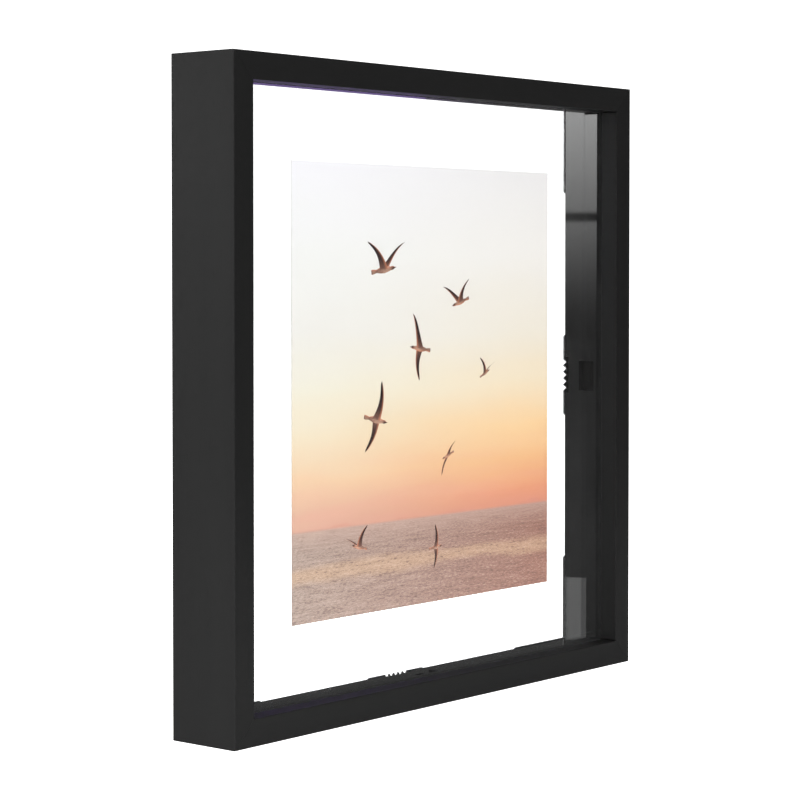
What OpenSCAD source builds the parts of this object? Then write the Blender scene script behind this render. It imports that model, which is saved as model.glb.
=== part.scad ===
// Deep floating frame: a print held between two clear panes inside a black box frame.
// Millimetres. +Z is up, +Y points to the wall, and the front faces -Y.
// The origin is the middle of the underside. The frame loads from the back, in this order:
// front pane, print, back pane, four spacer strips, and a rear frame that is a push fit.

/* [Outer frame] */
// Width over the outer rails
frame_w = 318; // [280:1:420]
// Height over the outer rails
frame_h = 318; // [280:1:420]
// Depth from the front face to the wall face
frame_d = 40; // [39:1:50]
// Width of the front face of each rail
face_w = 13; // [12:0.5:18]
// Depth of the lip that stands in front of the glass
lip_d = 10; // [9:0.5:11]
// Thickness of the rail's wall behind the lip
wall_t = 3; // [2.5:0.1:3.4]

/* [Panes and print] */
// Thickness of each clear pane
pane_t = 1.2; // [1:0.1:2]
// Thickness of the print
print_t = 0.3; // [0.2:0.05:0.4]
// Width of the print
print_w = 205; // [100:1:230]
// Height of the print
print_h = 220; // [100:1:230]
// How far the print lies to the right of the middle
print_shift_x = -5.5; // [-10:0.5:10]
// How far the print lies above the middle
print_shift_z = 1; // [-10:0.5:10]

/* [Spacers and rear frame] */
// Depth, from the front face, at which the spacers end and the rear frame starts
split_at = 22; // [20:0.5:23]
// Depth, from the front face, of the rear frame's back
rear_at = 36.6; // [34:0.2:36.8]
// How far the rear frame's inner face lies outside the lip's
rear_step = 2.5; // [1.5:0.5:3]
// Play on each side between the loaded pieces and the wall
side_play = 0.3; // [0.2:0.05:0.6]

/* [Finger notches] */
// Length of each notch along its rail
notch_l = 16.5; // [14:0.5:30]
// Depth, from the front face, at which the notches start
notch_at = 15.4; // [15.4:0.1:17]
// How far each notch reaches out from the lip's inner face
notch_out = 6.5; // [5:0.5:7]
// How far each notch runs back into the rear frame
notch_rear = 5; // [4:0.2:8]

/* [Hardware] */
// Length of a sawtooth hanger
hanger_l = 45; // [44:1:60]
// Number of valleys in a hanger
valleys = 5; // [3:1:5]
// Distance from one valley to the next
tooth_pitch = 3.6; // [3:0.1:3.8]
// Thickness of the hangers and corner plates
plate_t = 0.9; // [0.7:0.1:1.1]
// Length of a corner plate's leg, from the rail's outer side
corner_leg = 57; // [52:1:70]

/* [Hidden] */
$fn = 32;

SIDES = ["bottom", "right", "top", "left"];
// The sides with a sawtooth hanger, and a finger notch in front of it
HUNG_SIDES = ["right", "bottom"];

rail_color = [0.07, 0.07, 0.07];
liner_color = [0.1, 0.1, 0.1];
glass_color = [0.8, 0.9, 0.92, 0.35];
print_color = [0.93, 0.78, 0.66];
steel_color = [0.62, 0.62, 0.64];

// Air between pieces that lie face to face in the stack
face_gap = 0.1;

// Places along Y
front_y = -frame_d / 2;
back_y = frame_d / 2;
lip_back_y = front_y + lip_d;
split_y = front_y + split_at;
rear_y = front_y + rear_at;
plate_back_y = rear_y + plate_t;
pane_y = lip_back_y + face_gap;
print_y = pane_y + pane_t + face_gap;
back_pane_y = print_y + print_t + face_gap;
spacer_y = back_pane_y + pane_t + face_gap;
notch_y = front_y + notch_at;

// Distances inward from the outer side of a rail
loaded_in = wall_t + side_play;
rear_in = face_w - rear_step;
notch_in = face_w - notch_out;
plate_in = loaded_in + 0.2;
plate_proud = 0.4;

pane_w = frame_w - 2 * loaded_in;
pane_h = frame_h - 2 * loaded_in;

// Corner nails: bent strips pressed into both rails of a mitre
mitre_nail_leg = 4.6;
mitre_nail_t = 0.5;
mitre_nail_h = 7;
mitre_nail_in = 6.2;
slot_play = 0.05;

// Hanger
hanger_proud = 0.3;
hanger_inner = rear_in + hanger_proud;
tooth_depth = 2.4;
tooth_land = 0.5;
nail_inset = 4;
relief_d = 2.4;
relief_w = 3.4;
relief_spare = 1;

// Screws and nails
screw_r = 0.9;
screw_l = 9;
screw_head_r = 1.8;
screw_head_h = 0.7;
cross_w = 0.5;
cross_l = 2.2;
cross_d = 0.4;
nail_r = 0.6;
nail_l = 8;
nail_head_r = 1.3;
nail_head_h = 0.5;
hole_play = 0.05;
leg_screws = [14, 46];
plate_corner_r = 1.5;

function rail_length(side) = (side == "top" || side == "bottom") ? frame_w : frame_h;
function side_turn(side) =
    side == "bottom" ? 0 : side == "right" ? -90 : side == "top" ? 180 : 90;
function side_place(side) =
    side == "bottom" ? [0, 0, 0]
    : side == "right" ? [frame_w / 2, 0, frame_h / 2]
    : side == "top" ? [0, 0, frame_h]
    : [-frame_w / 2, 0, frame_h / 2];

// Puts a piece that is drawn on the bottom rail onto a side. The outer side is at z = 0,
// and z grows towards the middle of the frame.
module on_side(side) {
    translate(side_place(side)) rotate([0, side_turn(side), 0]) children();
}

// The corner where a side starts, with its two rails along +X and +Z.
module at_corner(side) {
    on_side(side) translate([-rail_length(side) / 2, 0, 0]) children();
}

// Extrudes an outline drawn in X and Z from y0 to y1.
module slab(y0, y1) {
    translate([0, y1, 0]) rotate([90, 0, 0]) linear_extrude(height = y1 - y0) children();
}

// A bar with mitred ends, from one distance inside the outer side to another.
module mitred_bar(length, from_in, to_in, y0, y1) {
    half = length / 2;
    slab(y0, y1) polygon([
        [from_in - half, from_in], [half - from_in, from_in],
        [half - to_in, to_in], [to_in - half, to_in]
    ]);
}

// A cylinder along +Y, from y0 to y1.
module rod(x, z, y0, y1, r) {
    translate([x, y0, z]) rotate([-90, 0, 0]) cylinder(h = y1 - y0, r = r);
}

// ---------- outer frame ----------

// The bent strip, its end just proud of the wood, or with spare above 0 the slot that holds it.
module mitre_nail_shape(spare) {
    width = mitre_nail_t + 2 * spare;
    reach = mitre_nail_leg + 2 * spare;
    start = mitre_nail_in - spare;
    head_y = lip_back_y + slot_play;
    slab(head_y - mitre_nail_h - spare, head_y + 2 * spare) translate([start, start]) union() {
        square([reach, width]);
        square([width, reach]);
    }
}

module mitre_nails() {
    color(steel_color) for (corner = SIDES) at_corner(corner) mitre_nail_shape(0);
}

module outer_rail(side) {
    length = rail_length(side);
    color(rail_color) difference() {
        on_side(side) union() {
            mitred_bar(length, 0, face_w, front_y, lip_back_y);
            mitred_bar(length, 0, wall_t, front_y, back_y);
        }
        for (corner = SIDES) at_corner(corner) mitre_nail_shape(slot_play);
    }
}

module rail_top() { outer_rail("top"); }
module rail_bottom() { outer_rail("bottom"); }
module rail_left() { outer_rail("left"); }
module rail_right() { outer_rail("right"); }

// ---------- panes and print ----------

module sheet(w, h, x, z, y0, t) {
    translate([x - w / 2, y0, frame_h / 2 + z - h / 2]) cube([w, t, h]);
}

module front_pane() {
    color(glass_color) sheet(pane_w, pane_h, 0, 0, pane_y, pane_t);
}

module print() {
    color(print_color) sheet(print_w, print_h, print_shift_x, print_shift_z, print_y, print_t);
}

module back_pane() {
    color(glass_color) sheet(pane_w, pane_h, 0, 0, back_pane_y, pane_t);
}

// ---------- spacers and rear frame ----------

function is_hung(side) = side == HUNG_SIDES[0] || side == HUNG_SIDES[1];

// The finger notch: a pocket in the inner face, from inside the spacer on into the rear rail.
module finger_notch() {
    translate([-notch_l / 2, notch_y, notch_in])
        cube([notch_l, split_y + notch_rear - notch_y, notch_out + 1]);
}

module spacer(side) {
    color(liner_color) on_side(side) difference() {
        mitred_bar(rail_length(side), loaded_in, face_w, spacer_y, split_y - face_gap);
        if (is_hung(side)) finger_notch();
    }
}

module spacer_top() { spacer("top"); }
module spacer_bottom() { spacer("bottom"); }
module spacer_left() { spacer("left"); }
module spacer_right() { spacer("right"); }

// Where the two legs of a corner plate are screwed down, as distances from the rail's middle.
function plate_screws_x(side) =
    [for (end = [-1, 1]) for (d = leg_screws) end * (rail_length(side) / 2 - d)];
plate_width = rear_in + plate_proud - plate_in;
plate_mid_in = plate_in + plate_width / 2;

// The relief that leaves room for a wall nail's head behind the hanger's teeth.
module teeth_relief() {
    relief_l = valleys * tooth_pitch + 2 * relief_spare;
    translate([-relief_l / 2, rear_y - relief_d, rear_in - relief_w])
        cube([relief_l, relief_d + 1, relief_w + 1]);
}

function hanger_nails_x() = [for (end = [-1, 1]) end * (hanger_l / 2 - nail_inset)];
hanger_mid_in = plate_in + (hanger_inner - plate_in) / 2;

module rear_rail(side) {
    color(liner_color) on_side(side) difference() {
        mitred_bar(rail_length(side), loaded_in, rear_in, split_y, rear_y);
        for (x = plate_screws_x(side))
            rod(x, plate_mid_in, rear_y + plate_t - screw_l - hole_play, rear_y + 1, screw_r + hole_play);
        if (is_hung(side)) {
            finger_notch();
            teeth_relief();
            for (x = hanger_nails_x())
                rod(x, hanger_mid_in, plate_back_y - nail_l - hole_play, rear_y + 1, nail_r + hole_play);
        }
    }
}

module rear_rail_top() { rear_rail("top"); }
module rear_rail_bottom() { rear_rail("bottom"); }
module rear_rail_left() { rear_rail("left"); }
module rear_rail_right() { rear_rail("right"); }

// ---------- hardware on the rear frame ----------

// A flat L over one corner of the rear frame, with two screw holes in each leg.
module corner_plate(corner) {
    color(steel_color) at_corner(corner) difference() {
        slab(rear_y, plate_back_y) translate([plate_in, plate_in]) union() {
            rounded_strip(corner_leg - plate_in, plate_width);
            rounded_strip(plate_width, corner_leg - plate_in);
        }
        for (d = leg_screws) {
            rod(d, plate_mid_in, rear_y - 1, plate_back_y + 1, screw_r + hole_play);
            rod(plate_mid_in, d, rear_y - 1, plate_back_y + 1, screw_r + hole_play);
        }
    }
}

// A strip with its first corner at the origin and rounded corners.
module rounded_strip(l, w) {
    r = plate_corner_r;
    translate([r, 0]) square([l - 2 * r, w]);
    translate([0, r]) square([l, w - 2 * r]);
    for (x = [r, l - r]) for (y = [r, w - r]) translate([x, y]) circle(r = r);
}

module corner_plate_bottom_left() { corner_plate("bottom"); }
module corner_plate_bottom_right() { corner_plate("right"); }
module corner_plate_top_right() { corner_plate("top"); }
module corner_plate_top_left() { corner_plate("left"); }

// A pan-head screw seen from behind, its head on the plate and a cross cut into it.
module screw(x, z) {
    head_y = plate_back_y;
    translate([x, head_y, z]) difference() {
        rotate([-90, 0, 0]) union() {
            translate([0, 0, -screw_l]) cylinder(h = screw_l, r = screw_r);
            cylinder(h = screw_head_h, r1 = screw_head_r, r2 = screw_head_r - 0.4);
        }
        for (turn = [0, 90]) rotate([0, turn, 0])
            translate([-cross_l / 2, screw_head_h - cross_d, -cross_w / 2])
                cube([cross_l, cross_d + 1, cross_w]);
    }
}

module corner_screws() {
    color(steel_color) for (corner = SIDES) at_corner(corner) for (d = leg_screws) {
        screw(d, plate_mid_in);
        screw(plate_mid_in, d);
    }
}

// A sawtooth hanger: a strip with a row of notches along its inner edge.
module hanger(side) {
    row_l = valleys * tooth_pitch;
    color(steel_color) on_side(side) difference() {
        slab(rear_y, plate_back_y) difference() {
            translate([-hanger_l / 2, plate_in]) rounded_strip(hanger_l, hanger_inner - plate_in);
            for (i = [0 : valleys - 1]) translate([(i + 0.5) * tooth_pitch - row_l / 2, hanger_inner])
                polygon([
                    [tooth_land / 2 - tooth_pitch / 2, 1], [tooth_land / 2 - tooth_pitch / 2, 0],
                    [-tooth_land / 2, -tooth_depth], [tooth_land / 2, -tooth_depth],
                    [tooth_pitch / 2 - tooth_land / 2, 0], [tooth_pitch / 2 - tooth_land / 2, 1]
                ]);
        }
        for (x = hanger_nails_x())
            rod(x, hanger_mid_in, rear_y - 1, plate_back_y + 1, nail_r + hole_play);
    }
}

module hanger_right() { hanger("right"); }
module hanger_bottom() { hanger("bottom"); }

module hanger_nails() {
    color(steel_color) for (side = HUNG_SIDES) on_side(side) for (x = hanger_nails_x()) {
        rod(x, hanger_mid_in, plate_back_y - nail_l, plate_back_y, nail_r);
        rod(x, hanger_mid_in, plate_back_y, plate_back_y + nail_head_h, nail_head_r);
    }
}

rail_top();
rail_bottom();
rail_left();
rail_right();
mitre_nails();
front_pane();
print();
back_pane();
spacer_top();
spacer_bottom();
spacer_left();
spacer_right();
rear_rail_top();
rear_rail_bottom();
rear_rail_left();
rear_rail_right();
corner_plate_top_left();
corner_plate_top_right();
corner_plate_bottom_left();
corner_plate_bottom_right();
corner_screws();
hanger_right();
hanger_bottom();
hanger_nails();
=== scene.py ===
import math

import bmesh
import bpy
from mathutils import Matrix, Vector


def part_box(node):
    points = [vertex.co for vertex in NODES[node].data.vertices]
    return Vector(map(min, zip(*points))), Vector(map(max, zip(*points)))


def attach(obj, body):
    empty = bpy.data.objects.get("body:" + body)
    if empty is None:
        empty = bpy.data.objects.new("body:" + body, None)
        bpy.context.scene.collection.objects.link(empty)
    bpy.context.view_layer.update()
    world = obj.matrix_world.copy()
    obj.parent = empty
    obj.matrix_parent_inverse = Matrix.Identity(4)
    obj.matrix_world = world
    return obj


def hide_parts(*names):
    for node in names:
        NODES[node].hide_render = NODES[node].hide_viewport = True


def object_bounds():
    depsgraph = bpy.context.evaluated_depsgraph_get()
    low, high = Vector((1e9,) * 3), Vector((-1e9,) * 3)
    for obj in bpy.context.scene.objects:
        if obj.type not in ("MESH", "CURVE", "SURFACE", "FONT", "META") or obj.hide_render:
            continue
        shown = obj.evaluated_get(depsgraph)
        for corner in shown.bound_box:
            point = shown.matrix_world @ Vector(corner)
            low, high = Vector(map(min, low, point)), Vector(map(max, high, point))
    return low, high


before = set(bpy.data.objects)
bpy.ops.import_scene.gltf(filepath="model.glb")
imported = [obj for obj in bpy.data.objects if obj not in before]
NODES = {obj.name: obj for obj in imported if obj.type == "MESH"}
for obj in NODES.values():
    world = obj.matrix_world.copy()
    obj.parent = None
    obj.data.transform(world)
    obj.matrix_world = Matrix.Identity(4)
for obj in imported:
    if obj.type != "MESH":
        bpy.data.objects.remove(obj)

# The looks of a deep floating frame: lacquered rails, clear panes, a printed sunset, steel
# hardware, a pale studio and the camera. Lengths are metres, in the frame's own axes.

CAD_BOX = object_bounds()
MM = 0.001
SIDES = ("bottom", "right", "top", "left")

# ---------- places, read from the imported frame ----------

FACE_GAP = 0.1 * MM
SIDE_PLAY = 0.3 * MM

LOW, HIGH = CAD_BOX
WIDTH = HIGH.x - LOW.x
HEIGHT = HIGH.z - LOW.z
FRONT_Y, BACK_Y = LOW.y, HIGH.y
FACE_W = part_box("rail_bottom")[1].z
LIP_BACK_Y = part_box("front_pane")[0].y - FACE_GAP
LOADED_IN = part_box("spacer_bottom")[0].z
WALL_T = LOADED_IN - SIDE_PLAY
REAR_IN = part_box("rear_rail_bottom")[1].z


def rail_length(side):
    return WIDTH if side in ("top", "bottom") else HEIGHT


def on_side(side, along, inward, y):
    """A point given along a rail, inward from its outer side, and in depth."""
    places = {
        "bottom": (along, inward),
        "right": (WIDTH / 2 - inward, HEIGHT / 2 + along),
        "top": (-along, HEIGHT - inward),
        "left": (-WIDTH / 2 + inward, HEIGHT / 2 - along),
    }
    x, z = places[side]
    return Vector((x, y, z))


# ---------- material building ----------


def linear(red, green, blue):
    """A display colour from 0 to 255 as the linear colour that a shader takes."""
    def channel(value):
        value /= 255
        return value / 12.92 if value <= 0.04045 else ((value + 0.055) / 1.055) ** 2.4
    return (channel(red), channel(green), channel(blue), 1.0)


def add(tree, kind, inputs=None, **settings):
    """A new node, with its settings and with its inputs linked or set."""
    node = tree.nodes.new(kind)
    for key, value in settings.items():
        setattr(node, key, value)
    for key, value in (inputs or {}).items():
        if isinstance(value, bpy.types.NodeSocket):
            tree.links.new(value, node.inputs[key])
        else:
            node.inputs[key].default_value = value
    return node


def sums(tree, operation, first, second=0.0, clamp=False):
    """One step of arithmetic."""
    node = add(tree, "ShaderNodeMath", {0: first, 1: second}, operation=operation)
    node.use_clamp = clamp
    return node.outputs[0]


def product(tree, first, second, clamp=False):
    return sums(tree, "MULTIPLY", first, second, clamp)


def blend_colours(tree, factor, first, second):
    node = add(tree, "ShaderNodeMix", {0: factor, 6: first, 7: second}, data_type="RGBA")
    return node.outputs[2]


def remap(tree, value, low, high, to_low, to_high, smooth=False):
    """Carries one range of values onto another, held at both ends."""
    node = add(tree, "ShaderNodeMapRange", {
        "Value": value, "From Min": low, "From Max": high, "To Min": to_low, "To Max": to_high,
    })
    node.interpolation_type = "SMOOTHSTEP" if smooth else "LINEAR"
    return node.outputs["Result"]


def ramp(tree, factor, stops):
    """A colour ramp through (place, colour) stops."""
    node = add(tree, "ShaderNodeValToRGB", {"Fac": factor})
    elements = node.color_ramp.elements
    elements.remove(elements[-1])
    elements[0].position, elements[0].color = stops[0]
    for place, colour in stops[1:]:
        elements.new(place).color = colour
    return node.outputs["Color"]


def stretched(tree, vector, scale):
    node = add(tree, "ShaderNodeMapping", {"Vector": vector, "Scale": scale})
    return node.outputs["Vector"]


def noise(tree, vector, scale, detail=3.0, roughness=0.5):
    node = add(tree, "ShaderNodeTexNoise", {
        "Vector": vector, "Scale": scale, "Detail": detail, "Roughness": roughness,
    })
    return node.outputs["Fac"]


def bump(tree, height, distance, strength=1.0):
    node = add(tree, "ShaderNodeBump", {
        "Height": height, "Distance": distance, "Strength": strength,
    })
    return node.outputs["Normal"]


def new_material(name):
    material = bpy.data.materials.new(name)
    material.use_nodes = True
    tree = material.node_tree
    tree.nodes.clear()
    return material, tree


def finish_material(tree, shader):
    add(tree, "ShaderNodeOutputMaterial", {"Surface": shader})


def black_wood():
    """Satin black lacquer over fine straight grain, which runs along each rail."""
    material, tree = new_material("black_wood")
    uv = add(tree, "ShaderNodeTexCoord").outputs["UV"]
    streaks = noise(tree, stretched(tree, uv, (9, 900, 1)), 1.0, detail=5.0, roughness=0.62)
    broad = noise(tree, stretched(tree, uv, (5, 60, 1)), 1.0, detail=2.0)
    pores = noise(tree, stretched(tree, uv, (130, 1500, 1)), 1.0, detail=2.0, roughness=0.7)
    fleck = remap(tree, pores, 0.60, 0.72, 0.0, 1.0)
    grain = blend_colours(tree, streaks, (0.0074, 0.0074, 0.0075, 1), (0.0112, 0.0112, 0.0112, 1))
    toned = blend_colours(tree, remap(tree, broad, 0.35, 0.65, 0.0, 0.3), grain,
                          (0.0122, 0.0121, 0.0119, 1))
    flecked = blend_colours(tree, product(tree, fleck, 0.35), toned, (0.005, 0.005, 0.005, 1))
    mitre = add(tree, "ShaderNodeAttribute", attribute_name="mitre").outputs["Fac"]
    joint = remap(tree, mitre, 0.06 * MM, 0.22 * MM, 1.0, 0.0)
    colour = blend_colours(tree, product(tree, joint, 0.7), flecked, (0.003, 0.003, 0.003, 1))
    rough = remap(tree, sums(tree, "ADD", streaks, fleck), 0.2, 1.4, 0.40, 0.52)
    relief = sums(tree, "SUBTRACT", product(tree, streaks, 0.5), fleck)
    relief = sums(tree, "SUBTRACT", relief, product(tree, joint, 3.0))
    shader = add(tree, "ShaderNodeBsdfPrincipled", {
        "Base Color": colour, "Roughness": rough, "IOR": 1.45,
        "Normal": bump(tree, relief, 0.02 * MM),
    })
    finish_material(tree, shader.outputs[0])
    return material


def black_liner(name, shade):
    """The smooth glossy wrap of the spacers and the rear frame, with a faint pressed grain."""
    material, tree = new_material(name)
    uv = add(tree, "ShaderNodeTexCoord").outputs["UV"]
    cloudy = noise(tree, stretched(tree, uv, (14, 120, 1)), 1.0, detail=4.0)
    fine = noise(tree, stretched(tree, uv, (500, 2200, 1)), 1.0, detail=2.0)
    lighter = shade * 1.5
    colour = blend_colours(tree, cloudy, (shade, shade, shade, 1), (lighter, lighter, lighter, 1))
    rough = remap(tree, cloudy, 0.3, 0.7, 0.02, 0.036)
    shader = add(tree, "ShaderNodeBsdfPrincipled", {
        "Base Color": colour, "Roughness": rough, "IOR": 1.5,
        "Normal": bump(tree, fine, 0.02 * MM, 0.03),
    })
    finish_material(tree, shader.outputs[0])
    return material


def shaded_cut_face():
    """Where a notch or relief was milled: the bare board, left matt, with its colour painted dark
    as the shade inside the recess.
    """
    material, tree = new_material("shaded_cut_face")
    place = add(tree, "ShaderNodeTexCoord").outputs["Object"]
    fibre = noise(tree, place, 1600.0, detail=3.0, roughness=0.7)
    # Painted shade: darker than the wrap around it, for the shade that falls inside the notches
    # and reliefs.
    colour = blend_colours(tree, fibre, (0.003, 0.003, 0.003, 1), (0.008, 0.0078, 0.0075, 1))
    shader = add(tree, "ShaderNodeBsdfPrincipled", {
        "Base Color": colour, "Roughness": remap(tree, fibre, 0.3, 0.7, 0.75, 0.9), "IOR": 1.4,
        "Specular IOR Level": 0.3, "Normal": bump(tree, fibre, 0.05 * MM, 0.6),
    })
    finish_material(tree, shader.outputs[0])
    return material


# A pane mirrors on both of its faces, the second a little less than the first.
PANE_FACES = 1.8
# How pale the film along the lip is: painted light for the gap that the lip shades.
LIP_GAP_LIGHT = 0.035


def clear_glass():
    """Clear sheet: see-through faces that mirror by angle and carry a little dust, and along the
    lip a denser pale film that is painted light, lightening the gap that the lip shades, and green
    seamed edges."""
    material, tree = new_material("clear_glass")
    coordinates = add(tree, "ShaderNodeTexCoord")
    normal_y = add(tree, "ShaderNodeSeparateXYZ", {0: coordinates.outputs["Normal"]}).outputs["Y"]
    edge = remap(tree, sums(tree, "ABSOLUTE", normal_y), 0.55, 0.75, 1.0, 0.0)
    smear = noise(tree, coordinates.outputs["Object"], 30.0, detail=4.0)
    rough = remap(tree, smear, 0.4, 0.8, 0.012, 0.035)
    mirror = add(tree, "ShaderNodeBsdfGlossy", {"Color": (1, 1, 1, 1), "Roughness": rough})
    clear = add(tree, "ShaderNodeBsdfTransparent", {"Color": (0.996, 0.998, 0.997, 1)})
    fresnel = add(tree, "ShaderNodeFresnel", {"IOR": 1.5}).outputs["Fac"]
    outside = sums(tree, "SUBTRACT", 1.0, add(tree, "ShaderNodeNewGeometry").outputs["Backfacing"])
    share = product(tree, product(tree, fresnel, outside), PANE_FACES, clamp=True)
    clean = add(tree, "ShaderNodeMixShader", {0: share, 1: clear.outputs[0], 2: mirror.outputs[0]})
    place = add(tree, "ShaderNodeSeparateXYZ", {0: coordinates.outputs["Object"]}).outputs
    upright = sums(tree, "ABSOLUTE", sums(tree, "SUBTRACT", place["Z"], HEIGHT / 2))
    off_centre = sums(tree, "MAXIMUM", sums(tree, "ABSOLUTE", place["X"]), upright)
    opening = WIDTH / 2 - FACE_W
    # Painted light: a pale film in the last half millimetre by the lip's edge, lightening the
    # shaded gap behind it.
    painted_gap_light = remap(tree, off_centre, opening - 0.5 * MM, opening + 0.2 * MM,
                    0.0, LIP_GAP_LIGHT)
    film = sums(tree, "ADD", remap(tree, smear, 0.3, 0.7, 0.002, 0.006), painted_gap_light)
    film = product(tree, film, outside)
    dust_and_gap_light = add(tree, "ShaderNodeBsdfDiffuse", {"Color": (0.8, 0.8, 0.8, 1)})
    face = add(tree, "ShaderNodeMixShader", {0: film, 1: clean.outputs[0], 2: dust_and_gap_light.outputs[0]})
    ground = add(tree, "ShaderNodeBsdfPrincipled", {
        "Base Color": (0.16, 0.36, 0.30, 1), "Roughness": 0.28, "IOR": 1.5,
        "Normal": bump(tree, noise(tree, coordinates.outputs["Object"], 900.0), 0.02 * MM),
    })
    shader = add(tree, "ShaderNodeMixShader", {0: edge, 1: face.outputs[0], 2: ground.outputs[0]})
    finish_material(tree, shader.outputs[0])
    return material


# The picture's own colours, as display values, by the height up the sheet from 0 to 1.
HORIZON = 0.20
LIGHT_PATH_AT = 0.55
SKY_LEFT = (
    (HORIZON, (204, 163, 144)), (0.24, (212, 174, 151)), (0.31, (226, 196, 164)),
    (0.40, (230, 216, 191)), (0.50, (233, 228, 212)), (0.62, (235, 233, 228)),
    (0.80, (242, 242, 240)), (1.0, (249, 248, 252)),
)
SKY_RIGHT = (
    (HORIZON, (207, 140, 112)), (0.24, (218, 150, 116)), (0.31, (231, 181, 133)),
    (0.40, (241, 206, 159)), (0.50, (241, 225, 198)), (0.62, (241, 234, 221)),
    (0.80, (248, 245, 241)), (1.0, (247, 245, 245)),
)
VEIL = (224, 160, 150)
SHORE = (196, 134, 122)
SEA_FAR = (199, 171, 158)
SEA_LEFT = (170, 152, 142)
SEA_RIGHT = (155, 113, 100)
SEA_TROUGH = (112, 90, 86)
SEA_GLINT = (220, 198, 182)
SEA_PATH = (202, 170, 140)


def display_stops(stops):
    """Ramp stops with their display colours turned into linear ones."""
    return [(place, linear(*colour)) for place, colour in stops]


def printed_sky(tree, across, up, haze, uv):
    """Pale overhead and warm low down, with thin bands of veil near the horizon."""
    drift = sums(tree, "ADD", up, remap(tree, haze, 0.3, 0.7, -0.018, 0.018))
    sky = blend_colours(tree, remap(tree, across, 0.0, 1.0, 0.0, 1.0, smooth=True),
                        ramp(tree, drift, display_stops(SKY_LEFT)),
                        ramp(tree, drift, display_stops(SKY_RIGHT)))
    band = noise(tree, stretched(tree, uv, (3.0, 34.0, 1)), 1.0, detail=3.0)
    low_down = remap(tree, up, 0.24, 0.6, 1.0, 0.0)
    veil = remap(tree, product(tree, band, low_down), 0.35, 0.75, 0.0, 0.22)
    return blend_colours(tree, veil, sky, linear(*VEIL))


def printed_sea(tree, across, up, haze):
    """Water that recedes: its ripples close up towards the horizon, and a paler path of light
    lies across it."""
    below = sums(tree, "SUBTRACT", HORIZON + 0.012, up)
    near = sums(tree, "DIVIDE", below, HORIZON)
    distance = sums(tree, "POWER", sums(tree, "MAXIMUM", below, 0.001), 0.55)
    off_middle = sums(tree, "SUBTRACT", across, 0.5)
    sideways = sums(tree, "DIVIDE", off_middle, sums(tree, "ADD", below, 0.45))
    water = add(tree, "ShaderNodeCombineXYZ", {"X": sideways, "Y": distance}).outputs[0]
    swell = noise(tree, stretched(tree, water, (6.0, 90.0, 1)), 1.0, detail=3.0, roughness=0.55)
    ripple = noise(tree, stretched(tree, water, (46.0, 300.0, 1)), 1.0, detail=4.0, roughness=0.7)
    waves = sums(tree, "ADD", product(tree, swell, 0.3), product(tree, ripple, 0.7))
    sea = blend_colours(tree, across, linear(*SEA_LEFT), linear(*SEA_RIGHT))
    far = remap(tree, near, 0.05, 0.32, 0.6, 0.0)
    sea = blend_colours(tree, far, sea, linear(*SEA_FAR))
    drifted = sums(tree, "ADD", near, remap(tree, haze, 0.3, 0.7, -0.08, 0.08))
    off_path = sums(tree, "ABSOLUTE", sums(tree, "SUBTRACT", drifted, LIGHT_PATH_AT))
    off_path = remap(tree, off_path, 0.03, 0.14, 0.0, 1.0, smooth=True)
    path = product(tree, sums(tree, "SUBTRACT", 1.0, off_path), 0.55)
    sea = blend_colours(tree, path, sea, linear(*SEA_PATH))
    depth = remap(tree, near, 0.0, 0.35, 0.45, 1.0)
    troughs = product(tree, remap(tree, waves, 0.50, 0.37, 0.0, 0.8), depth)
    sea = blend_colours(tree, troughs, sea, linear(*SEA_TROUGH))
    glints = product(tree, remap(tree, waves, 0.52, 0.68, 0.0, 0.55), depth)
    return blend_colours(tree, glints, sea, linear(*SEA_GLINT))


def printed_shore(tree, up, under, uv):
    """How much of the low far shore shows, just over the horizon."""
    shore = noise(tree, stretched(tree, uv, (9.0, 1.0, 1)), 1.0, detail=4.0)
    height = remap(tree, shore, 0.45, 0.75, 0.0, 0.012)
    over = sums(tree, "SUBTRACT", up, height)
    land = remap(tree, over, HORIZON - 0.001, HORIZON + 0.003, 1.0, 0.0)
    land = product(tree, land, sums(tree, "SUBTRACT", 1.0, under))
    return product(tree, land, 0.35)


def printed_sunset():
    """A made-up evening sky over rippled water, printed on satin photo paper."""
    material, tree = new_material("printed_paper")
    coordinates = add(tree, "ShaderNodeTexCoord").outputs
    uv = coordinates["UV"]
    parts = add(tree, "ShaderNodeSeparateXYZ", {0: uv}).outputs
    across, up = parts["X"], parts["Y"]
    haze = noise(tree, stretched(tree, uv, (1.6, 9.0, 1)), 1.0, detail=4.0, roughness=0.55)
    sky = printed_sky(tree, across, up, haze, uv)
    sea = printed_sea(tree, across, up, haze)
    under = remap(tree, up, HORIZON - 0.004, HORIZON + 0.002, 1.0, 0.0)
    picture = blend_colours(tree, under, sky, sea)
    picture = blend_colours(tree, printed_shore(tree, up, under, uv), picture, linear(*SHORE))
    facing = add(tree, "ShaderNodeSeparateXYZ", {0: coordinates["Normal"]}).outputs["Y"]
    front = remap(tree, facing, -0.8, -0.6, 1.0, 0.0)
    paper = noise(tree, stretched(tree, uv, (420, 420, 1)), 1.0, detail=2.0)
    plain = blend_colours(tree, paper, (0.74, 0.73, 0.70, 1), (0.82, 0.81, 0.79, 1))
    shader = add(tree, "ShaderNodeBsdfPrincipled", {
        "Base Color": blend_colours(tree, front, plain, picture),
        "Roughness": remap(tree, paper, 0.3, 0.7, 0.42, 0.5), "IOR": 1.4,
        "Specular IOR Level": 0.25, "Normal": bump(tree, paper, 0.008 * MM),
    })
    finish_material(tree, shader.outputs[0])
    return material


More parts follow.
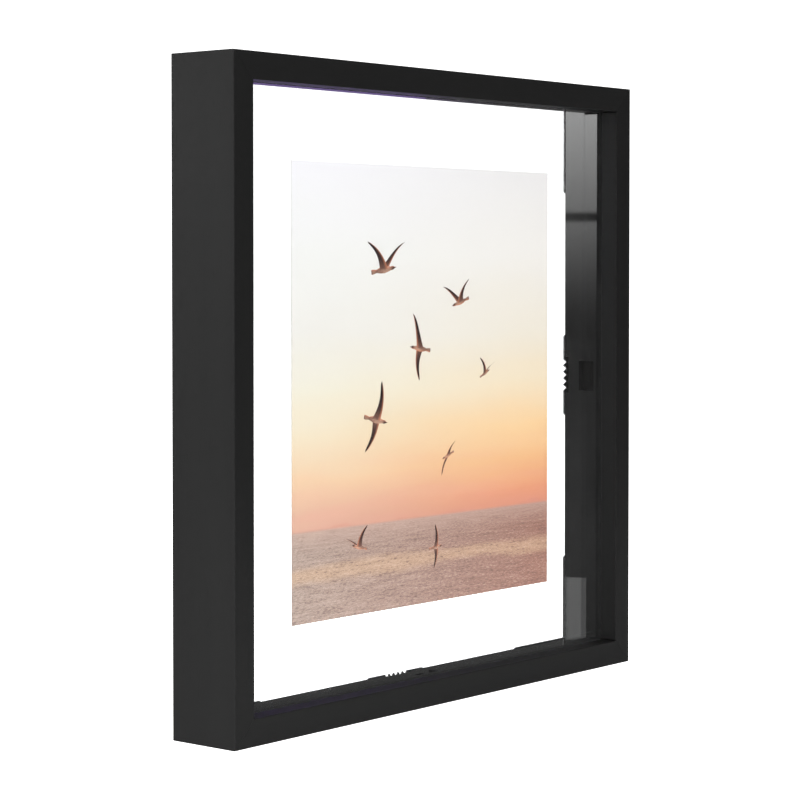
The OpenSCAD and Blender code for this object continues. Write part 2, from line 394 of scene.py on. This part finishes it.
def gull_ink():
    """The printed birds: dark wing ends, lighter roots and a warm side towards the light."""
    material, tree = new_material("gull_ink")
    uv = add(tree, "ShaderNodeTexCoord").outputs["UV"]
    parts = add(tree, "ShaderNodeSeparateXYZ", {0: uv})
    along, across = parts.outputs["X"], parts.outputs["Y"]
    plume = noise(tree, stretched(tree, uv, (9, 40, 1)), 1.0, detail=3.0)
    tone = sums(tree, "ADD", along, remap(tree, plume, 0.3, 0.7, -0.12, 0.12))
    wing = ramp(tree, tone, display_stops((
        (0.0, (206, 166, 142)), (0.18, (128, 92, 80)), (0.45, (68, 47, 45)), (0.8, (36, 26, 29)),
    )))
    sunward = remap(tree, across, 0.62, 0.95, 0.0, 0.55)
    lit = blend_colours(tree, sunward, wing, linear(226, 142, 104))
    shader = add(tree, "ShaderNodeBsdfPrincipled", {
        "Base Color": lit, "Roughness": 0.46, "IOR": 1.4, "Specular IOR Level": 0.25,
    })
    finish_material(tree, shader.outputs[0])
    return material


def rolled_steel(name, colour, roughness):
    """Zinc-plated strip: fine rolling lines, a cloudy plate and small spots of handling."""
    material, tree = new_material(name)
    place = add(tree, "ShaderNodeTexCoord").outputs["Object"]
    lines = noise(tree, stretched(tree, place, (1500, 300, 9000)), 1.0, detail=3.0, roughness=0.7)
    cloud = noise(tree, place, 160.0, detail=4.0)
    dark = tuple(channel * 0.72 for channel in colour[:3]) + (1,)
    tint = blend_colours(tree, remap(tree, cloud, 0.35, 0.7, 0.0, 1.0), colour, dark)
    shader = add(tree, "ShaderNodeBsdfPrincipled", {
        "Base Color": tint, "Metallic": 1.0,
        "Roughness": sums(tree, "ADD", remap(tree, cloud, 0.3, 0.7, -0.05, 0.09), roughness),
        "Normal": bump(tree, lines, 0.01 * MM, 0.7),
    })
    finish_material(tree, shader.outputs[0])
    return material


# ---------- mesh building ----------


def new_piece(name, mesh_data, materials, body, node):
    """Links a piece, gives it its materials, and lets it stand for a CAD node and ride a body."""
    mesh = bpy.data.meshes.new(name)
    mesh_data.to_mesh(mesh)
    mesh_data.free()
    piece = bpy.data.objects.new(name, mesh)
    bpy.context.scene.collection.objects.link(piece)
    for material in materials:
        mesh.materials.append(material)
    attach(piece, body)
    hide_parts(node)
    return piece


def flat_faces_stay_flat(piece):
    """Weighs the normals by area, so that only the rounded arrises turn the light."""
    weighted = piece.modifiers.new("true_normals", "WEIGHTED_NORMAL")
    weighted.mode = "FACE_AREA"
    weighted.weight = 100
    weighted.keep_sharp = True


def rounded_outline(corners, steps=5):
    """The outline through (inward, y, radius) corners, each rounded by a short curve."""
    outline = []
    for index, (inward, y, radius) in enumerate(corners):
        here = Vector((inward, y))
        if radius == 0:
            outline.append(here)
            continue
        before = Vector(corners[index - 1][:2]) - here
        after = Vector(corners[(index + 1) % len(corners)][:2]) - here
        start = here + before.normalized() * radius
        end = here + after.normalized() * radius
        for step in range(steps + 1):
            part = step / steps
            curve = start * (1 - part) ** 2 + here * 2 * part * (1 - part) + end * part ** 2
            outline.append(curve)
    return outline


# The narrow end section of each bar, where the "mitre" attribute falls to 0 at the joint.
MITRE_BAND = 1.0 * MM
BAR_SECTIONS = 24


def mitred_bar(side, outline):
    """A bar with mitred ends: an outline swept along one side of the frame."""
    mesh = bmesh.new()
    mitre = mesh.verts.layers.float.new("mitre")
    uv = mesh.loops.layers.uv.new("grain")
    half = rail_length(side) / 2
    last = 1 - MITRE_BAND / half
    shares = [-1] + [last * (2 * i / BAR_SECTIONS - 1) for i in range(BAR_SECTIONS + 1)] + [1]
    rings = []
    for share in shares:
        ring = []
        for inward, y in outline:
            reach = half - inward
            vertex = mesh.verts.new(on_side(side, share * reach, inward, y))
            vertex[mitre] = reach * (1 - abs(share))
            ring.append(vertex)
        rings.append(ring)
    round_trip = [0.0]
    for index, point in enumerate(outline):
        round_trip.append(round_trip[-1] + (outline[(index + 1) % len(outline)] - point).length)
    offset = 0.1 * SIDES.index(side)
    count = len(outline)
    for low, high, share_low, share_high in zip(rings, rings[1:], shares, shares[1:]):
        for index in range(count):
            following = (index + 1) % count
            face = mesh.faces.new((low[index], low[following], high[following], high[index]))
            face.smooth = True
            loop_shares = (share_low, share_low, share_high, share_high)
            loop_places = (index, index + 1, index + 1, index)
            for loop, share, place in zip(face.loops, loop_shares, loop_places):
                inward = outline[place % count][0]
                loop[uv].uv = (share * (half - inward) + offset, round_trip[place] + offset)
    mesh.faces.new(rings[0])
    mesh.faces.new(rings[-1][::-1])
    bmesh.ops.recalc_face_normals(mesh, faces=mesh.faces)
    return mesh


def box_cutter(side, along, inward, y):
    """A box on one side, from ranges along the rail, inward and in depth."""
    mesh = bmesh.new()
    bmesh.ops.create_cube(mesh, size=1.0)
    mesh.loops.layers.uv.new("grain")
    for vertex in mesh.verts:
        picks = [limits[0] if part < 0 else limits[1]
                 for part, limits in zip(vertex.co, (along, inward, y))]
        vertex.co = on_side(side, *picks)
    bmesh.ops.recalc_face_normals(mesh, faces=mesh.faces)
    return mesh


def cut(piece, cutter_mesh, material):
    """Takes a cutter's space out of a piece's own mesh, and gives the new faces a material."""
    mesh = bpy.data.meshes.new("cutter")
    cutter_mesh.to_mesh(mesh)
    cutter_mesh.free()
    mesh.materials.append(material)
    cutter = bpy.data.objects.new("cutter", mesh)
    bpy.context.scene.collection.objects.link(cutter)
    boolean = piece.modifiers.new("cut", "BOOLEAN")
    boolean.object = cutter
    boolean.operation = "DIFFERENCE"
    boolean.solver = "EXACT"
    boolean.material_mode = "TRANSFER"
    bpy.context.view_layer.update()
    seen = piece.evaluated_get(bpy.context.evaluated_depsgraph_get())
    result = bpy.data.meshes.new_from_object(seen)
    piece.modifiers.remove(boolean)
    piece.data = result
    bpy.data.objects.remove(cutter)


# Faces that meet at more than these angles, in degrees, keep a sharp edge or are bevelled.
SHARP_ANGLE = 50
BEVEL_ANGLE = 60
BEVEL_STEPS = 2


def soften(piece, width, angle):
    """Bevels the edges that turn by more than an angle."""
    bevel = piece.modifiers.new("soft_edges", "BEVEL")
    bevel.width = width
    bevel.segments = BEVEL_STEPS
    bevel.limit_method = "ANGLE"
    bevel.angle_limit = math.radians(angle)
    bevel.harden_normals = False


def finish_edges(piece, width=0.0):
    """Smooth shading over the arrises, sharp ends, and an optional bevel."""
    piece.data.shade_smooth()
    piece.data.set_sharp_from_angle(angle=math.radians(SHARP_ANGLE))
    if width:
        soften(piece, width, BEVEL_ANGLE)
    flat_faces_stay_flat(piece)


# ---------- the pieces ----------

RAIL_ARRIS = 0.7 * MM
INNER_ARRIS = 0.5 * MM
HIDDEN_ARRIS = 0.25 * MM
WRAP_ARRIS = 0.2 * MM


def outer_rails(material):
    """The four lacquered rails, L-shaped in section: a wall with the lip at its front."""
    outline = rounded_outline((
        (0, FRONT_Y, RAIL_ARRIS), (FACE_W, FRONT_Y, INNER_ARRIS),
        (FACE_W, LIP_BACK_Y, HIDDEN_ARRIS), (WALL_T, LIP_BACK_Y, 0),
        (WALL_T, BACK_Y, HIDDEN_ARRIS), (0, BACK_Y, RAIL_ARRIS),
    ))
    for side in SIDES:
        rail = new_piece("lacquered_rail_" + side, mitred_bar(side, outline), [material],
                         "outer_frame", "rail_" + side)
        finish_edges(rail)


SPACER_EDGE = 0.25 * MM
REAR_RAIL_EDGE = 0.2 * MM

NOTCH_HALF = 8.25 * MM
NOTCH_IN = 6.5 * MM
NOTCH_Y = (FRONT_Y + 15.4 * MM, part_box("rear_rail_bottom")[0].y + 5 * MM)
SPARE = 1.0 * MM


def is_hung(side):
    """Whether this side carries a hanger, which is also where the finger notches are."""
    return "hanger_" + side in NODES


def finger_notch(side):
    return box_cutter(side, (-NOTCH_HALF, NOTCH_HALF), (NOTCH_IN, FACE_W + SPARE), NOTCH_Y)


def liner_bar(kind, side, material, milled, body, to_in):
    """One spacer or rear rail, its arrises softened and any finger notch cut."""
    node = kind + side
    low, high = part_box(node)
    outline = rounded_outline((
        (LOADED_IN, low.y, HIDDEN_ARRIS), (to_in, low.y, WRAP_ARRIS),
        (to_in, high.y, WRAP_ARRIS), (LOADED_IN, high.y, HIDDEN_ARRIS),
    ), steps=3)
    bar = new_piece("wrapped_" + node, mitred_bar(side, outline), [material], body,
                    node)
    if is_hung(side):
        cut(bar, finger_notch(side), milled)
    return bar


def spacers(material, milled):
    for side in SIDES:
        bar = liner_bar("spacer_", side, material, milled, "spacers", FACE_W)
        finish_edges(bar, SPACER_EDGE)


RELIEF_HALF = 10.0 * MM
RELIEF_DEPTH = 2.4 * MM
RELIEF_WIDTH = 3.4 * MM


def rear_rails(material, milled):
    """The rear frame's rails, with a shallow relief behind each hanger's teeth."""
    rear_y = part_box("rear_rail_bottom")[1].y
    for side in SIDES:
        bar = liner_bar("rear_rail_", side, material, milled, "rear_frame", REAR_IN)
        if is_hung(side):
            relief = box_cutter(side, (-RELIEF_HALF, RELIEF_HALF),
                                (REAR_IN - RELIEF_WIDTH, REAR_IN + SPARE),
                                (rear_y - RELIEF_DEPTH, rear_y + SPARE))
            cut(bar, relief, milled)
        finish_edges(bar, REAR_RAIL_EDGE)


# Each bird: its place across and up the sheet, its size in mm, the way it heads, and for the
# far wing and then the near one the ways that the arm and the hand point, all in degrees.
GULLS = (
    (0.33, 0.765, 21, 8, (64, 30), (122, 152)),
    (0.63, 0.690, 16, 196, (128, 158), (70, 40)),
    (0.47, 0.585, 18, 172, (262, 288), (84, 112)),
    (0.73, 0.520, 10, 24, (52, 20), (104, 142)),
    (0.30, 0.430, 20, -12, (246, 224), (70, 96)),
    (0.58, 0.335, 11, 200, (236, 258), (58, 34)),
    (0.24, 0.150, 13, 168, (140, 168), (66, 40)),
    (0.53, 0.125, 12, 6, (264, 246), (86, 112)),
)
ARM_SHARE = 0.44
WING_CHORD = 0.29
TIP_CHORD = 0.012
WING_STEPS = 14
INK_DEPTH = 0.02 * MM

# The body from beak to tail: place along it, half its width there, and how dark it is.
GULL_BODY = (
    (0.47, 0.004, 0.9), (0.40, 0.015, 0.8), (0.38, 0.034, 0.5), (0.33, 0.046, 0.3),
    (0.26, 0.043, 0.1), (0.17, 0.066, 0.04), (0.02, 0.084, 0.06), (-0.13, 0.070, 0.16),
    (-0.26, 0.036, 0.2), (-0.40, 0.060, 0.1), (-0.45, 0.052, 0.3),
)


def heading(degrees):
    return Vector((math.cos(math.radians(degrees)), math.sin(math.radians(degrees))))


def blade(mesh, uv, rows, y_front, y_back):
    """A thin closed shape through rows of (one side, the other side, tone)."""
    columns = []
    for one, other, tone in rows:
        columns.append([mesh.verts.new((point.x, y, point.y))
                        for point in (one, other) for y in (y_front, y_back)])

    def quad(vertices, marks):
        face = mesh.faces.new(vertices)
        face.material_index = 1
        for loop, mark in zip(face.loops, marks):
            loop[uv].uv = mark

    tones = [row[2] for row in rows]
    for left, right, a, b in zip(columns, columns[1:], tones, tones[1:]):
        quad((left[0], right[0], right[2], left[2]), ((a, 1), (b, 1), (b, 0), (a, 0)))
        quad((left[1], left[3], right[3], right[1]), ((a, 1), (a, 0), (b, 0), (b, 1)))
        quad((left[0], left[1], right[1], right[0]), ((a, 1), (a, 1), (b, 1), (b, 1)))
        quad((left[2], right[2], right[3], left[3]), ((a, 0), (b, 0), (b, 0), (a, 0)))
    for column, tone in ((columns[0], tones[0]), (columns[-1], tones[-1])):
        quad((column[0], column[2], column[3], column[1]),
             ((tone, 1), (tone, 0), (tone, 0), (tone, 1)))


def wing_rows(shoulder, size, ahead, arm, hand):
    """A wing bent at the wrist: a curved leading edge, and a chord that tapers to the tip."""
    wrist = shoulder + heading(arm) * size * ARM_SHARE
    tip = wrist + heading(hand) * size * (1 - ARM_SHARE)
    bend = wrist + (wrist - shoulder) * 0.25 + ahead * size * 0.06
    rows = []
    for step in range(WING_STEPS + 1):
        part = step / WING_STEPS
        leading = shoulder * (1 - part) ** 2 + bend * 2 * part * (1 - part) + tip * part ** 2
        taper = (1 - part) ** 0.65 * (1 - 0.25 * math.sin(math.pi * part))
        chord = size * (WING_CHORD * taper + TIP_CHORD)
        rows.append((leading, leading - ahead * chord, 0.16 + 0.84 * part ** 0.8))
    return rows


def draw_gull(mesh, uv, centre, gull, y):
    """One gull: its far wing, its body and its near wing, each a film of ink over the last."""
    size, way, far, near = gull
    size *= MM
    ahead = heading(way)
    aside = Vector((-ahead.y, ahead.x))
    shoulder = centre + ahead * size * 0.16
    body = []
    for place, half, tone in GULL_BODY:
        spine = centre + ahead * size * place
        body.append((spine + aside * size * half, spine - aside * size * half, tone))
    layers = (wing_rows(shoulder, size * 0.94, ahead, *far), body,
              wing_rows(shoulder, size, ahead, *near))
    for layer, rows in enumerate(layers, start=1):
        blade(mesh, uv, rows, y - INK_DEPTH * layer, y + INK_DEPTH)


SHEET_GRID = (20, 22)


def printed_picture(paper, ink):
    """The print: a thin closed sheet, with its birds as films of ink."""
    low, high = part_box("print")
    mesh = bmesh.new()
    uv = mesh.loops.layers.uv.new("grain")
    columns, rows = SHEET_GRID
    size = high - low
    for y in (low.y, high.y):
        grid = []
        for k in range(rows + 1):
            z = low.z + size.z * k / rows
            grid.append([mesh.verts.new((low.x + size.x * i / columns, y, z))
                         for i in range(columns + 1)])
        for k in range(rows):
            for i in range(columns):
                corners = (grid[k][i], grid[k][i + 1], grid[k + 1][i + 1], grid[k + 1][i])
                mesh.faces.new(corners if y == low.y else corners[::-1])
    rims = [edge for edge in mesh.edges if edge.is_boundary]
    bmesh.ops.bridge_loops(mesh, edges=rims)
    bmesh.ops.recalc_face_normals(mesh, faces=mesh.faces)
    for face in mesh.faces:
        for loop in face.loops:
            place = loop.vert.co
            loop[uv].uv = ((place.x - low.x) / size.x, (place.z - low.z) / size.z)
    for across, up, *gull in GULLS:
        centre = Vector((low.x + size.x * across, low.z + size.z * up))
        draw_gull(mesh, uv, centre, gull, low.y)
    return new_piece("printed_picture", mesh, [paper, ink], "print_sheet",
                     "print")


WELD_REACH = 0.002 * MM
CARRIED_ANGLE = 35
PLATE_EDGE = 0.08 * MM
HANGER_EDGE = 0.06 * MM
PANE_EDGE = 0.35 * MM


def carried_over(node, material, edge=0.0):
    """A CAD node that stays: its split vertices are joined again and its edges softened."""
    piece = NODES[node]
    piece.data.materials.clear()
    piece.data.materials.append(material)
    weld = piece.modifiers.new("join", "WELD")
    weld.merge_threshold = WELD_REACH
    if edge:
        soften(piece, edge, CARRIED_ANGLE)


def hardware(plate_steel, screw_steel):
    """The zinc-plated pieces, kept from the CAD."""
    for vertical in ("top", "bottom"):
        for sideways in ("left", "right"):
            carried_over(f"corner_plate_{vertical}_{sideways}", plate_steel, PLATE_EDGE)
    for node in ("hanger_right", "hanger_bottom"):
        carried_over(node, plate_steel, HANGER_EDGE)
    for node in ("corner_screws", "hanger_nails", "mitre_nails"):
        carried_over(node, screw_steel)


def panes(material):
    for node in ("front_pane", "back_pane"):
        carried_over(node, material, PANE_EDGE)


# ---------- studio ----------

# How bright each part of the studio is: what the camera sees, what lights the object, and
# what its glossy surfaces mirror.
SEEN_WHITE = 1.55
SEEN_FLOOR = 1.4
LIT_FLOOR = 0.29
FILL = 0.42
DIM_ROOM = 0.03
MIRRORED_GROUND = 0.22
LEFT_WALL = (0.06, 0.25)
RIGHT_WALL = 0.04
LOW_RIGHT_WALL = 0.25
WHITE = (1, 1, 1, 1)
LAVENDER = (0.54, 0.36, 1.0, 1)
GREY = (0.14, 0.13, 0.15, 1)
WINDOW_STRENGTH = 8.3
LOW_CARD_STRENGTH = 0.40
HIGH_CARD_STRENGTH = 0.45
VIOLET_STRENGTH = 0.45

# Where the mirrored room changes, in the parts of a unit direction: the violet band's top and
# foot, its far end, and the ground's edge.
BAND_TOP = (-0.02, 0.06)
BAND_FOOT = (-0.21, -0.13)
BAND_END = (0.75, 0.80)
GROUND_EDGE = (-0.30, -0.14)

FLOOR_HALF = 6.0
FLOOR_DROP = 0.2 * MM


def floor():
    """A plain pale floor just under the frame, bright where the camera sees it."""
    mesh = bmesh.new()
    bmesh.ops.create_grid(mesh, x_segments=1, y_segments=1, size=FLOOR_HALF)
    material, tree = new_material("pale_floor")
    place = add(tree, "ShaderNodeTexCoord").outputs["Object"]
    mottle = noise(tree, place, 3.0, detail=2.0)
    colour = blend_colours(tree, mottle, (0.90, 0.90, 0.90, 1), (0.94, 0.94, 0.94, 1))
    seen = add(tree, "ShaderNodeLightPath").outputs["Is Camera Ray"]
    shader = add(tree, "ShaderNodeBsdfPrincipled", {
        "Base Color": colour, "Roughness": 0.9, "Specular IOR Level": 0.0,
        "Emission Color": WHITE,
        "Emission Strength": remap(tree, seen, 0.0, 1.0, LIT_FLOOR, SEEN_FLOOR),
    })
    finish_material(tree, shader.outputs[0])
    data = bpy.data.meshes.new("floor")
    mesh.to_mesh(data)
    mesh.free()
    data.materials.append(material)
    plane = bpy.data.objects.new("floor", data)
    plane.location.z = -FLOOR_DROP
    plane.visible_glossy = False
    bpy.context.scene.collection.objects.link(plane)


def room_side(tree, direction, sideways, backwards):
    """How far a direction lies towards one quarter of the room, from 0 to 1."""
    to_side = product(tree, direction["X"], sideways)
    to_back = product(tree, direction["Y"], backwards)
    across = remap(tree, to_side, 0.15, 0.6, 0.0, 1.0, smooth=True)
    along = remap(tree, to_back, 0.1, 0.45, 0.0, 1.0, smooth=True)
    return product(tree, across, along)


def background(tree, colour, strength):
    return add(tree, "ShaderNodeBackground", {"Color": colour, "Strength": strength}).outputs[0]


def mirrored_room(tree, direction):
    """What the object mirrors: a dim room with a paler ground and two lighter walls, one behind
    and to the left, and one behind and to the right with a violet band just under eye level."""
    left_wall = product(tree, room_side(tree, direction, -1, 1),
                        remap(tree, direction["Z"], -0.1, 0.4, *LEFT_WALL))
    band = product(tree, remap(tree, direction["Z"], *BAND_TOP, 1.0, 0.0),
                   remap(tree, direction["Z"], *BAND_FOOT, 0.0, 1.0))
    right_level = remap(tree, band, 0.0, 1.0, RIGHT_WALL, LOW_RIGHT_WALL)
    right_wall = product(tree, room_side(tree, direction, 1, 1), right_level)
    fade = remap(tree, direction["X"], *BAND_END, 0.0, 1.0, smooth=True)
    violet = blend_colours(tree, fade, LAVENDER, GREY)
    tint = blend_colours(tree, band, WHITE, violet)
    ground = remap(tree, direction["Z"], *GROUND_EDGE, MIRRORED_GROUND, DIM_ROOM, smooth=True)
    dim = background(tree, WHITE, sums(tree, "ADD", left_wall, ground))
    right = background(tree, tint, right_wall)
    return add(tree, "ShaderNodeAddShader", {0: dim, 1: right}).outputs[0]


def studio_world():
    """White behind the object, a soft fill on it, and a dim room in what it mirrors."""
    world = bpy.data.worlds.new("studio")
    bpy.context.scene.world = world
    world.use_nodes = True
    tree = world.node_tree
    tree.nodes.clear()
    rays = add(tree, "ShaderNodeLightPath").outputs
    way = add(tree, "ShaderNodeTexCoord").outputs["Generated"]
    direction = add(tree, "ShaderNodeSeparateXYZ", {0: way}).outputs
    seen = background(tree, WHITE, SEEN_WHITE)
    fill = background(tree, WHITE, FILL)
    lit = add(tree, "ShaderNodeMixShader", {
        0: rays["Is Glossy Ray"], 1: fill, 2: mirrored_room(tree, direction),
    })
    both = add(tree, "ShaderNodeMixShader", {0: rays["Is Camera Ray"], 1: lit.outputs[0], 2: seen})
    add(tree, "ShaderNodeOutputWorld", {"Surface": both.outputs[0]})


def softbox(name, place, target, size, power):
    """A soft light that neither the camera nor a glossy surface sees."""
    data = bpy.data.lights.new(name, "AREA")
    data.shape = "RECTANGLE"
    data.size, data.size_y = size
    data.energy = power
    light = bpy.data.objects.new(name, data)
    light.location = place
    light.rotation_euler = (Vector(target) - Vector(place)).to_track_quat("-Z", "Y").to_euler()
    light.visible_camera = False
    light.visible_glossy = False
    bpy.context.scene.collection.objects.link(light)


def lights():
    """Two large soft lights on the left, one overhead, and two low strips for the bottom."""
    middle = (0, 0, HEIGHT / 2)
    softbox("overhead", (0.0, -0.1, 1.6), (0, 0, 0), (1.8, 1.8), 6.8)
    softbox("front_left", (-1.55, -1.65, 0.5), middle, (1.4, 1.2), 28.0)
    softbox("left", (-1.6, 0.2, 0.35), middle, (0.9, 1.0), 26.0)
    softbox("low_front", (0.05, -0.13, 0.012), (0.05, 0, 0.012), (0.6, 0.03), 0.34)
    softbox("low_left", (-0.35, 0, 0.02), (LOW.x, 0, 0.02), (0.3, 0.04), 0.2)


def card(name, middle, size, emission, colour=WHITE):
    """An upright card that only the glossy surfaces see. Its strength follows its height."""
    mesh = bmesh.new()
    uv = mesh.loops.layers.uv.new("card")
    away = Vector((middle[0], middle[1], 0)).normalized()
    across = Vector((-away.y, away.x, 0)) * size[0] / 2
    up = Vector((0, 0, size[1] / 2))
    signs = ((-1, -1), (1, -1), (1, 1), (-1, 1))
    corners = [Vector(middle) + across * a + up * b for a, b in signs]
    face = mesh.faces.new([mesh.verts.new(corner) for corner in corners])
    for loop, place in zip(face.loops, ((0, 0), (1, 0), (1, 1), (0, 1))):
        loop[uv].uv = place
    data = bpy.data.meshes.new(name)
    mesh.to_mesh(data)
    mesh.free()
    material, tree = new_material(name)
    place = add(tree, "ShaderNodeTexCoord").outputs["UV"]
    height = add(tree, "ShaderNodeSeparateXYZ", {0: place}).outputs["Y"]
    glow = add(tree, "ShaderNodeEmission", {"Color": colour, "Strength": emission(tree, height)})
    finish_material(tree, glow.outputs[0])
    data.materials.append(material)
    plane = bpy.data.objects.new(name, data)
    plane.visible_camera = plane.visible_diffuse = plane.visible_shadow = False
    bpy.context.scene.collection.objects.link(plane)


# The window's dark bar, as shares of the window's height.
BAR_MIDDLE = 0.4854
BAR_HALF = 0.0177
BAR_SOFT = 0.006


def window_glow(tree, height):
    """A window's soft light, which falls away downwards, with one dark bar across it."""
    glow = sums(tree, "POWER", remap(tree, height, 0.06, 0.876, 0.0, 1.0), 1.5)
    off_bar = sums(tree, "ABSOLUTE", sums(tree, "SUBTRACT", height, BAR_MIDDLE))
    clear = remap(tree, off_bar, BAR_HALF - BAR_SOFT, BAR_HALF + BAR_SOFT, 0.0, WINDOW_STRENGTH)
    return product(tree, glow, clear)


def low_glow(tree, height):
    """The low card's nearly even light."""
    return remap(tree, height, 0.0, 1.0, LOW_CARD_STRENGTH * 0.95, LOW_CARD_STRENGTH)


def violet_glow(tree, height):
    """The violet card's light, stronger at its foot, where only the matt wood mirrors it."""
    return remap(tree, height, 0.0, 0.6, VIOLET_STRENGTH * 4, VIOLET_STRENGTH)


def high_glow(tree, height):
    """The high card's light, a little weaker at its foot."""
    return remap(tree, height, 0.0, 1.0, HIGH_CARD_STRENGTH * 0.8, HIGH_CARD_STRENGTH)


# Metres, then degrees, then millimetres, and the shift as a share of the picture's width.
CAMERA_PLACE = (-0.9337, -0.7552, 0.2202)
CAMERA_DOWN = 1.62
CAMERA_TURN = -50.51
LENS = 106.3
SENSOR = 36.0
SHIFT_UP = -0.084


def camera():
    """The camera stands low and to the left, well back, with a long lens."""
    data = bpy.data.cameras.new("camera")
    data.sensor_width = SENSOR
    data.lens = LENS
    data.shift_y = SHIFT_UP
    data.clip_start = 0.05
    made = bpy.data.objects.new("camera", data)
    made.location = CAMERA_PLACE
    made.rotation_euler = (math.radians(90 - CAMERA_DOWN), 0, math.radians(CAMERA_TURN))
    bpy.context.scene.collection.objects.link(made)
    bpy.context.scene.camera = made


def colour_management():
    """Plain display colours, with no film look."""
    view = bpy.context.scene.view_settings
    view.view_transform = "Standard"
    view.look = "None"
    view.exposure = 0.0


outer_rails(black_wood())
shaded_milled_edge = shaded_cut_face()
spacers(black_liner("spacer_wrap", 0.0075), shaded_milled_edge)
rear_rails(black_liner("rear_wrap", 0.0085), shaded_milled_edge)
panes(clear_glass())
printed_picture(printed_sunset(), gull_ink())
hardware(rolled_steel("zinc_plate", (0.60, 0.60, 0.60, 1), 0.34),
         rolled_steel("zinc_screw", (0.68, 0.67, 0.64, 1), 0.26))
floor()
studio_world()
lights()
# Each card: its middle in metres, its width and height, and its glow.
card("window_card", (-0.752, 0.641, 0.274), (0.075, 0.26), window_glow)
card("low_card", (1.045, -0.612, -0.128), (0.10, 0.064), low_glow)
card("violet_card", (0.139, 0.284, 0.25), (0.30, 0.10), violet_glow, LAVENDER)
card("high_card", (1.15, -0.80, 0.75), (0.5, 0.5), high_glow)
camera()
colour_management()
